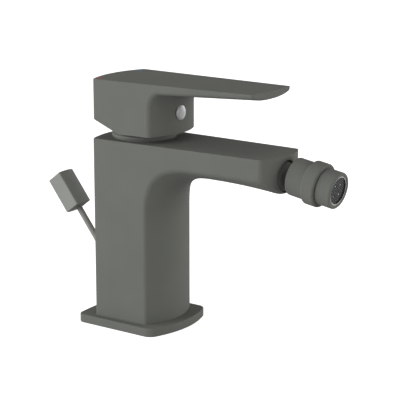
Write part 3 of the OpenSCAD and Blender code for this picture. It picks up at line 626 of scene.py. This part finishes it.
# %% Lever outline and loft
# The same kinds of sizes as the body's, and a cut that slants the underside behind the axis
handle_low, handle_high = box_mm("handle")
hub_z, hub_top = handle_low.z, handle_high.z
hub_rear, hub_front, lever_reach = 18.6, 19.3, 86.7
hub_half, tip_half = 23.9, 19.1
hub_bow_rear, hub_bow_front, tip_bow = 5.3, 6.4, 0.2
blade_root, blade_tip, blade_belly, belly_power = 5.3, 2.4, 2.0, 2.6
blade_arch_length, blade_arch_height, blade_arch_power = 6.6, 10.0, 2.2
hub_edge, blade_edge, tip_round = 1.5, 1.9, 1.5
cut_x, cut_slope = -1.5, math.tan(math.radians(22.8))
blade_slope = (blade_root - blade_tip) / (lever_reach - hub_front - blade_arch_length)


def lever_half(x):
    return hub_half + (tip_half - hub_half) * (x + hub_rear) / (lever_reach + hub_rear)


def lever_outline(u):
    """The lever seen from the side, clockwise from the rear of its underside, at the offset u."""
    rear_x = -hub_rear - bow(u, hub_bow_rear)
    hub_x = hub_front + bow(u, hub_bow_front)
    tip_x = lever_reach + bow(u, tip_bow)
    crown_x = hub_x + blade_arch_length

    def under(x):
        full = blade_belly * (1 - abs(u) ** belly_power)
        return hub_top - blade_root - full + blade_slope * max(0.0, x - crown_x)

    curve = arch(hub_x, under(0) - blade_arch_height, blade_arch_length, blade_arch_height,
                 blade_arch_power, hub_edge, blade_edge)
    return ([(rear_x, hub_z + (cut_x - rear_x) * cut_slope, side_edge), (rear_x, hub_top, 0.0),
             (tip_x, hub_top, side_edge)]
            + tip_to_foot(tip_x, hub_top, under, tip_round, blade_edge, curve)
            + [(hub_x, hub_z, 0.0), (cut_x, hub_z, 0.0)])


outline_count = len(lever_outline(0.0))
lever_casting = lofted("lever_casting", lever_outline, lever_half, hub_half, blade_edge,
                       {1, outline_count - 2, outline_count - 1})
rims_rounded(lever_casting, top_edge, round_the_top(hub_top))
print("lever loft", len(lever_casting.data.polygons), "faces")

# %% Hollowing and boring the lever
hub_wall, roof_z, screw_z = 3.2, hub_top - 5, hub_z + 11.9
hub_face = hub_front + hub_bow_front
hub_room = extruded("hub_room", bowed_plan(
    hub_rear, hub_half, hub_bow_rear, hub_front, lever_half(hub_front), hub_bow_front,
    side_edge, hub_wall), hub_z - 1, roof_z)
carved(hub_room, upright("stem_boss", 8.4, 0, 0, hub_z + 6.2, roof_z + 1),
       lengthwise("screw_sleeve", 5.6, screw_z, 0, hub_face - 1.6))
socket_x, socket_y, socket_top = 4.05, 3.05, 134.2
socket = extruded("stem_socket", [Vector((socket_x * a, socket_y * b)) for a, b in (
    (-1, -1), (1, -1), (1, 1), (-1, 1))], hub_z, socket_top)
mark_x, mark_y, mark_r, mark_deep = -17.8, 18.7, 1.9, 0.6
mark_pockets = [upright("mark_pocket", mark_r + fit_gap, mark_x, y, hub_top - mark_deep,
                        hub_top + 1) for y in (-mark_y, mark_y)]
carved(lever_casting, hub_room, socket,
       lengthwise("screw_hole", 3.05, screw_z, 0, hub_face + 1),
       lengthwise("cap_hole", 4.45, screw_z, hub_face - 3, hub_face + 1), *mark_pockets)
finished(lever_casting, "graphite_coat", "handle")
print("lever bored:", len(lever_casting.data.polygons), "faces")

# %% [markdown]
# The flange and the knob
#
# The flange under the column and the knob on the lift rod are the same kind of thing: a slab
# whose plan has two straight sides and two bowed ends. A shape that follows such a rule suits
# Geometry Nodes. The tree below rounds the corners of a rectangle, bends its two ends into
# bows, fills it and extrudes it. Its sizes are inputs, so one tree serves both pieces.

# %% A tree with named inputs
def new_tree(name, *sizes):
    """A Geometry Nodes tree whose inputs are the named sizes and a material."""
    tree = bpy.data.node_groups.new(name, "GeometryNodeTree")
    tree.interface.new_socket("Geometry", in_out="OUTPUT", socket_type="NodeSocketGeometry")
    for label in sizes:
        tree.interface.new_socket(label, in_out="INPUT", socket_type="NodeSocketFloat")
    tree.interface.new_socket("Material", in_out="INPUT", socket_type="NodeSocketMaterial")
    return tree, node(tree, "NodeGroupInput").outputs


def maths(tree, operation, first, second=0.0):
    return node(tree, "ShaderNodeMath", {0: first, 1: second}, operation=operation).outputs[0]


def closing(tree, geometry, material):
    """Ends a tree: realized, with its material."""
    real = node(tree, "GeometryNodeRealizeInstances", {"Geometry": geometry})
    coat = node(tree, "GeometryNodeSetMaterial", {
        "Geometry": real.outputs[0], "Material": material})
    node(tree, "NodeGroupOutput", {0: coat.outputs[0]})


def grown(name, tree, material, sizes, place=Matrix()):
    """A plain mesh made by a tree from its named sizes in millimetres, moved to its place."""
    piece = bpy.data.objects.new(name, bpy.data.meshes.new(name))
    bpy.context.scene.collection.objects.link(piece)
    growth = piece.modifiers.new(tree.name, "NODES")
    growth.node_group = tree
    sockets = {s.name: s.identifier for s in tree.interface.items_tree if s.in_out == "INPUT"}
    for label, size in sizes.items():
        growth[sockets[label]] = size * MM
    growth[sockets["Material"]] = material
    settled(piece)
    place = place.copy()
    place.translation *= MM
    piece.data.transform(place)
    tidy(piece)
    return piece


print("tree helpers ready")

# %% The bowed slab tree
slab_tree, slab_in = new_tree("bowed_slab", "Rear", "Front", "Half width", "Rear bow",
                              "Front bow", "Corner", "Step", "Thickness")
length = maths(slab_tree, "ADD", slab_in["Rear"], slab_in["Front"])
square = node(slab_tree, "GeometryNodeCurvePrimitiveQuadrilateral", {
    "Width": length, "Height": maths(slab_tree, "MULTIPLY", slab_in["Half width"], 2.0)})
rounded = node(slab_tree, "GeometryNodeFilletCurve", {
    "Curve": square.outputs[0], "Count": 8, "Radius": slab_in["Corner"]}, mode="POLY")
chopped = node(slab_tree, "GeometryNodeResampleCurve", {
    "Curve": rounded.outputs[0], "Length": slab_in["Step"]}, mode="LENGTH")
spot = node(slab_tree, "ShaderNodeSeparateXYZ", {
    0: node(slab_tree, "GeometryNodeInputPosition").outputs[0]}).outputs
across = maths(slab_tree, "DIVIDE", spot["Y"], slab_in["Half width"])
swell = maths(slab_tree, "SUBTRACT", 1.0, maths(slab_tree, "MULTIPLY", across, across))
rear_edge = maths(slab_tree, "SUBTRACT", maths(slab_tree, "MULTIPLY", slab_in["Rear"], -1.0),
                  maths(slab_tree, "MULTIPLY", slab_in["Rear bow"], swell))
front_edge = maths(slab_tree, "ADD", slab_in["Front"],
                   maths(slab_tree, "MULTIPLY", slab_in["Front bow"], swell))
half_length = maths(slab_tree, "DIVIDE", length, 2.0)
along = node(slab_tree, "ShaderNodeMapRange", {
    "Value": spot["X"], "From Min": maths(slab_tree, "MULTIPLY", half_length, -1.0),
    "From Max": half_length, "To Min": rear_edge, "To Max": front_edge})
bent_to = node(slab_tree, "ShaderNodeCombineXYZ", {"X": along.outputs[0], "Y": spot["Y"]})
bent = node(slab_tree, "GeometryNodeSetPosition", {
    "Geometry": chopped.outputs[0], "Position": bent_to.outputs[0]})
filled = node(slab_tree, "GeometryNodeFillCurve", {"Curve": bent.outputs[0]}, mode="NGONS")
raised = node(slab_tree, "GeometryNodeExtrudeMesh", {
    "Mesh": filled.outputs[0], "Offset Scale": slab_in["Thickness"], "Individual": False})
under_face = node(slab_tree, "GeometryNodeFlipFaces", {"Mesh": filled.outputs[0]})
whole = node(slab_tree, "GeometryNodeJoinGeometry")
slab_tree.links.new(raised.outputs["Mesh"], whole.inputs[0])
slab_tree.links.new(under_face.outputs[0], whole.inputs[0])
welded = node(slab_tree, "GeometryNodeMergeByDistance", {
    "Geometry": whole.outputs[0], "Distance": 0.001 * MM})
closing(slab_tree, welded.outputs[0], slab_in["Material"])
print("slab tree:", len(slab_tree.nodes), "nodes")


# %% Flange and knob
flange_top = box_mm("base_flange")[1].z
flange = grown("column_flange", slab_tree, graphite_lacquer, {
    "Rear": 30.0, "Front": 23.1, "Half width": 27.3, "Rear bow": 1.8, "Front bow": 6.4,
    "Corner": 3.6, "Step": 0.8, "Thickness": flange_top})
rims_rounded(flange, 0.45, square_edges)
seat_corner = 0.7
foot_seat = extruded("foot_seat", bowed_plan(*column_plan, seat_corner, -fit_gap),
                     foot_z, flange_top + 1)
gasket_in, gasket_out, gasket_high = 19.5, 22.5, 2
gasket_groove = turned("gasket_groove", [
    (gasket_in - fit_gap, -1), (gasket_out + fit_gap, -1),
    (gasket_out + fit_gap, gasket_high), (gasket_in - fit_gap, gasket_high)])
carved(flange, foot_seat, gasket_groove, upright("hose_opening", 15.5, 0, 0, -1, 8))
finished(flange, "graphite_coat", "base_flange")

rod_show, knob_length, socket_deep = 43.5, 22.5, 9
knob = grown("lift_knob", slab_tree, graphite_lacquer_light, {
    "Rear": 5.2, "Front": 5.2, "Half width": 6.3, "Rear bow": 1.1, "Front bow": 1.1,
    "Corner": 0.4, "Step": 0.25, "Thickness": knob_length},
    rod_place @ Matrix.Translation((0, 0, rod_show)))
rims_rounded(knob, 0.25, square_edges)
carved(knob, bore("rod_socket", rod_r + fit_gap, in_rod(rod_show - 1),
                  in_rod(rod_show + socket_deep)))
finished(knob, "graphite_coat_light", "rod_knob")
print("flange", len(flange.data.polygons), "and knob", len(knob.data.polygons), "faces")

# %% [markdown]
# The turned pieces
#
# The collar, the nozzle's barrel and housing, its ball, the rod and the small plugs come off
# a lathe. Each is one closed section, drawn as corners with a radius where the tool or the
# polish breaks the edge, and then spun about its axis.

# %% Turned pieces
nozzle_dip = 9.7
nozzle_place = facing_front(ball_x, ball_z, nozzle_dip)
ball_r, cavity_r, neck_r, waterway_r = 6.5, 7.65, 3.4, 2.2
barrel_r, barrel_back, thread_r, thread_z = 10.6, -5.3, 9.4, 6.2
ring_r, ring_start, ring_end = 12.2, 4.9, 13.2
housing_r, outlet_r, rim_out, insert_z = 10.2, 8.1, 22.5, 13.7


def arc(radius, start, end, steps=16):
    """Points (radius, height) on a ball, from one angle from the lathe's axis to another."""
    return [(radius * math.sin(a), radius * math.cos(a))
            for a in np.radians(np.linspace(start, end, steps + 1))]


# The collar stands on a foot narrower than its rim and closes in to the hub in a soft dome
collar = turned("dome_collar", [
    (17.31, 0), (18.52, 0), (17.9, 0.3), (17.9, 0.95), (18.96, 1.1, 0.15), (18.96, 2.4, 0.45),
    (15.6, 4.3, 4), (13.6, 4.9, 0.25), (13.6, 3.7), (17.31, 1.7)],
    Matrix.Translation((0, 0, body_top)), segments=192)
finished(collar, "graphite_coat", "cartridge_collar")

lip = arc(cavity_r, 90, 126)
barrel = turned("nozzle_barrel", [
    (lip[-1][0] + 0.8, barrel_back, 0.15), (barrel_r, barrel_back, 0.8),
    (barrel_r, ring_start, 0.5), (ring_r, ring_start + 1.2, 0.5), (ring_r, ring_end, 1.0),
    (thread_r, ring_end, 0.2), (thread_r, thread_z), (cavity_r, thread_z), *lip], nozzle_place)
finished(barrel, "graphite_coat", "swivel_barrel")

housing = turned("nozzle_housing", [
    (5, 7.9), (9.2, 7.9, 0.3), (9.2, 13.4), (housing_r, 13.4, 0.35), (housing_r, rim_out, 0.9),
    (outlet_r, rim_out, 0.25), (outlet_r, insert_z), (5, insert_z)], nozzle_place)
finished(housing, "graphite_coat", "aerator_housing")

# The stem from its end in the spout: shank with the seal's groove, flange in the recess, neck
# and ball. The water comes out through the flat where the ball is cut off.
stem_floor, shank_r, groove_r, flange_r = -14.0, 6, 4.9, 8.4
ball_cut = 38
neck_angle = 180 - math.degrees(math.asin(neck_r / ball_r))
ball = turned("nozzle_ball", [
    (waterway_r, stem_floor - 10), (shank_r, stem_floor - 10, 0.3), (shank_r, stem_floor - 8.5),
    (groove_r, stem_floor - 8.5), (groove_r, stem_floor - 6.5), (shank_r, stem_floor - 6.5),
    (shank_r, stem_floor), (flange_r - 0.1, stem_floor, 0.2), (flange_r, stem_floor + 3.9, 1.6),
    (neck_r, stem_floor + 4.3, 0.8), *arc(ball_r, neck_angle, ball_cut),
    (waterway_r, ball_r * math.cos(math.radians(ball_cut)))], facing_front(ball_x, ball_z))
finished(ball, "graphite_coat", "ball_stem")
print("nozzle pieces turned")

# %% Rod, bush, cap, marks and gasket
deck_gap = 0.3
rod_low = -(rod_z - rod_r * math.sin(rod_slope) - deck_gap) / math.cos(rod_slope)
rod = turned("lift_rod_turned", [
    (0, rod_low), (rod_r, rod_low, 0.5), (rod_r, rod_show + socket_deep, 0.3),
    (0, rod_show + socket_deep)], rod_place, segments=64)
finished(rod, "graphite_coat_light", "lift_rod")

bush_in, bush_out, bush_top = rod_r + fit_gap, 3.4, 3.5
bush = turned("rod_guide_bush", [
    (bush_in, -11), (2.9, -11), (bush_out, -9), (bush_out, bush_top, 0.5),
    (bush_in, bush_top, 0.3)], rod_place, segments=96)
finished(bush, "bush_plastic", "rod_bush")

cap_r, cap_flat, cap_rise = 4.4, 3.1, 1.3
cap = turned("screw_plug", [(0, 0)] + [
    (cap_r * math.cos(t), cap_flat + cap_rise * math.sin(t))
    for t in np.linspace(0, math.pi / 2, 13)], facing_front(hub_face - 3, screw_z), segments=96)
finished(cap, "cap_grey", "screw_cap")

for name, y, slot in (("hot_mark", -mark_y, "mark_red"), ("cold_mark", mark_y, "mark_blue")):
    mark = turned(name + "_enamel", [
        (0, 0), (mark_r, 0), (mark_r, mark_deep - 0.05, 0.15), (0, mark_deep)],
        Matrix.Translation((mark_x, y, hub_top - mark_deep)), segments=64)
    finished(mark, slot, name)

gasket = turned("deck_gasket", [
    (gasket_in, 0, 0.4), (gasket_out, 0, 0.4), (gasket_out, gasket_high),
    (gasket_in, gasket_high)], segments=192)
finished(gasket, "rubber_seal", "base_gasket")
print("small turned pieces done")

# %% [markdown]
# The aerator
#
# Water leaves through a black moulded grille of six-sided cells with a low wall round it. It
# sits in a pale insert, of which only a thin edge round the grille and five pins in its cells
# show. A honeycomb is the plainest case for Geometry Nodes: a grid of points with every other
# row shifted, a prism on each point, and one Boolean that cuts them out of a round plate.

# %% The honeycomb tree
comb_tree, comb_in = new_tree("honeycomb_plate", "Radius", "Thickness", "Pitch", "Web", "Rim")
row_step = maths(comb_tree, "MULTIPLY", comb_in["Pitch"], math.sin(math.radians(60)))
cells_across = 21
grid = node(comb_tree, "GeometryNodeMeshGrid", {
    "Size X": maths(comb_tree, "MULTIPLY", comb_in["Pitch"], cells_across - 1.0),
    "Size Y": maths(comb_tree, "MULTIPLY", row_step, cells_across - 1.0),
    "Vertices X": cells_across, "Vertices Y": cells_across})
spot = node(comb_tree, "GeometryNodeInputPosition").outputs[0]
row = maths(comb_tree, "ROUND", maths(comb_tree, "DIVIDE", node(
    comb_tree, "ShaderNodeSeparateXYZ", {0: spot}).outputs["Y"], row_step))
odd = maths(comb_tree, "ABSOLUTE", maths(comb_tree, "MODULO", row, 2.0))
shift = node(comb_tree, "ShaderNodeCombineXYZ", {
    "X": maths(comb_tree, "MULTIPLY", maths(comb_tree, "MULTIPLY", odd, 0.5), comb_in["Pitch"])})
staggered = node(comb_tree, "GeometryNodeSetPosition", {
    "Geometry": grid.outputs[0], "Offset": shift.outputs[0]})
from_centre = node(comb_tree, "ShaderNodeVectorMath", {0: spot}, operation="LENGTH").outputs[1]
room = maths(comb_tree, "SUBTRACT", comb_in["Radius"], comb_in["Rim"])
cell_radius = maths(comb_tree, "DIVIDE", maths(
    comb_tree, "SUBTRACT", comb_in["Pitch"], comb_in["Web"]), 2 * math.cos(math.radians(30)))
cell = node(comb_tree, "GeometryNodeMeshCylinder", {
    "Vertices": 6, "Radius": cell_radius,
    "Depth": maths(comb_tree, "MULTIPLY", comb_in["Thickness"], 3.0)})
cells = node(comb_tree, "GeometryNodeInstanceOnPoints", {
    "Points": staggered.outputs[0], "Instance": cell.outputs["Mesh"],
    "Selection": maths(comb_tree, "LESS_THAN", from_centre, room),
    "Rotation": (0, 0, math.radians(30))})
plate = node(comb_tree, "GeometryNodeMeshCylinder", {
    "Vertices": 128, "Radius": comb_in["Radius"], "Depth": comb_in["Thickness"]})
pierced = node(comb_tree, "GeometryNodeMeshBoolean", {
    "Mesh 1": plate.outputs["Mesh"], "Mesh 2": cells.outputs[0]}, operation="DIFFERENCE",
    solver="EXACT")
closing(comb_tree, pierced.outputs["Mesh"], comb_in["Material"])
print("honeycomb tree:", len(comb_tree.nodes), "nodes")

# %% Grille and insert
grille_r, grille_deep, grille_thick = 7.55, 0.9, 1.2
pin_r, pin_hole_r, pin_deep = 0.47, 0.6, 1.25
pins = [(0, 0)] + [(2.8 * a, 2.65 * b) for a in (-1, 1) for b in (-1, 1)]


def at_pins(name, radius, low, high):
    """A round solid at each pin, from one depth under the outlet's rim up to another."""
    return [bore(name, radius, *(nozzle_place @ Vector((x, y, rim_out - z)) for z in (low, high)))
            for x, y in pins]


grille = grown("outlet_grille", comb_tree, black_grille, {
    "Radius": grille_r - 0.2, "Thickness": grille_thick, "Pitch": 1.2, "Web": 0.34, "Rim": 0.6},
    nozzle_place @ Matrix.Translation((0, 0, rim_out - grille_deep - grille_thick / 2)))
wall_in, wall_top = grille_r - 0.5, rim_out - 0.25
grille_wall = turned("grille_wall", [
    (wall_in, rim_out - 2.2), (grille_r, rim_out - 2.2), (grille_r, wall_top, 0.1),
    (grille_r - 0.2, wall_top, 0.1), (grille_r - 0.3, rim_out - grille_deep),
    (wall_in, rim_out - grille_deep)], nozzle_place)
welded_on(grille, grille_wall)
carved(grille, *at_pins("pin_hole", pin_hole_r, 3, -1))
finished(grille, "grille_plastic", "aerator_grille", sharp=30)

insert_r, insert_in, insert_rim = outlet_r - fit_gap, grille_r + fit_gap, rim_out - 0.3
insert = turned("outlet_insert", [
    (0, insert_z), (insert_r, insert_z, 0.2), (insert_r, insert_rim, 0.12),
    (insert_in, insert_rim, 0.12), (insert_in, rim_out - 5), (0, rim_out - 5)], nozzle_place)
welded_on(insert, *at_pins("pin", pin_r, 5.5, pin_deep))
finished(insert, "aerator_plastic", "aerator_insert")
print("grille", len(grille.data.polygons), "faces")

# %% [markdown]
# Floor, light and world
#
# The mixer stands in a plain white studio. A soft light comes from all round. The strongest
# lamp stands to the left, three weaker ones to the rear, the front and the right, and a faint
# one above. Light Path lets the floor glow a little for the camera and in reflections, so that
# it shows white there and still keeps a trace of the shadow. The glow adds no light to matt
# paint.

# %% Floor
def white_to_the_eye(tree, seen, lit):
    """Mixes two shaders: seen for camera, glossy and transmission rays, lit for the rest."""
    path = node(tree, "ShaderNodeLightPath").outputs
    eye = maths(tree, "MAXIMUM", path["Is Camera Ray"], maths(
        tree, "MAXIMUM", path["Is Glossy Ray"], path["Is Transmission Ray"]))
    return node(tree, "ShaderNodeMixShader", {0: eye, 1: lit, 2: seen}).outputs[0]


floor_material = bpy.data.materials.new("white_studio_floor")
floor_material.use_nodes = True
tree = floor_material.node_tree
tree.nodes.clear()
paper = node(tree, "ShaderNodeBsdfDiffuse", {"Color": linear("#dcdcdc")}).outputs[0]
glow = node(tree, "ShaderNodeEmission", {"Color": linear("#ffffff"), "Strength": 0.85}).outputs[0]
shade = node(tree, "ShaderNodeAddShader", {0: paper, 1: glow}).outputs[0]
top = white_to_the_eye(tree, shade, paper)
clear = node(tree, "ShaderNodeBsdfTransparent").outputs[0]
backface = node(tree, "ShaderNodeNewGeometry").outputs["Backfacing"]
both = node(tree, "ShaderNodeMixShader", {0: backface, 1: top, 2: clear}).outputs[0]
node(tree, "ShaderNodeOutputMaterial", {"Surface": both})

# The floor lies a hair under the flange and is clear from below, where the flange's face shows
reach, floor_z = 4.0, -0.1 * MM
floor_mesh = bpy.data.meshes.new("studio_floor")
floor_mesh.from_pydata([(x, y, floor_z) for x, y in (
    (-reach, -reach), (reach, -reach), (reach, reach), (-reach, reach))], [], [(0, 1, 2, 3)])
floor = bpy.data.objects.new("studio_floor", floor_mesh)
floor.data.materials.append(floor_material)
bpy.context.scene.collection.objects.link(floor)
print("floor", 2 * reach, "m across")

# %% World and lamps
scene = bpy.context.scene
scene.view_settings.view_transform = "Standard"
scene.world = bpy.data.worlds.new("studio")
scene.world.use_nodes = True
tree = scene.world.node_tree
tree.nodes.clear()
room_level = 0.25
soft = node(tree, "ShaderNodeBackground", {
    "Color": linear("#ffffff"), "Strength": room_level}).outputs[0]
white = node(tree, "ShaderNodeBackground", {
    "Color": linear("#ffffff"), "Strength": 1.0}).outputs[0]
node(tree, "ShaderNodeOutputWorld", {"Surface": white_to_the_eye(tree, white, soft)})

lamp_distance, lamp_size = 1.6, 0.9
aimed_at = Vector((0.03, 0, 0.08))


def lamp(name, direction, level):
    """A square lamp that faces the mixer. level is the light it gives a face turned to it,
    as a share of what makes a white card white."""
    data = bpy.data.lights.new(name, "AREA")
    data.shape = "SQUARE"
    data.size = lamp_size
    data.energy = level * math.pi * lamp_distance ** 2 * math.pi
    made = bpy.data.objects.new(name, data)
    towards = Vector(direction).normalized()
    made.location = aimed_at + towards * lamp_distance
    made.rotation_mode = "QUATERNION"
    made.rotation_quaternion = towards.to_track_quat("Z", "Y")
    scene.collection.objects.link(made)
    return made


lamps = [lamp("left_lamp", (-0.45, -0.85, 0.25), 0.64),
         lamp("rear_lamp", (-0.9, -0.4, 0.2), 0.37),
         lamp("front_lamp", (1, 0, 0.1), 0.44),
         lamp("right_lamp", (0.3, 0.9, 0.2), 0.42),
         lamp("top_lamp", (0, 0, 1), 0.06)]
print("lamps", [round(made.data.energy, 1) for made in lamps], "W")
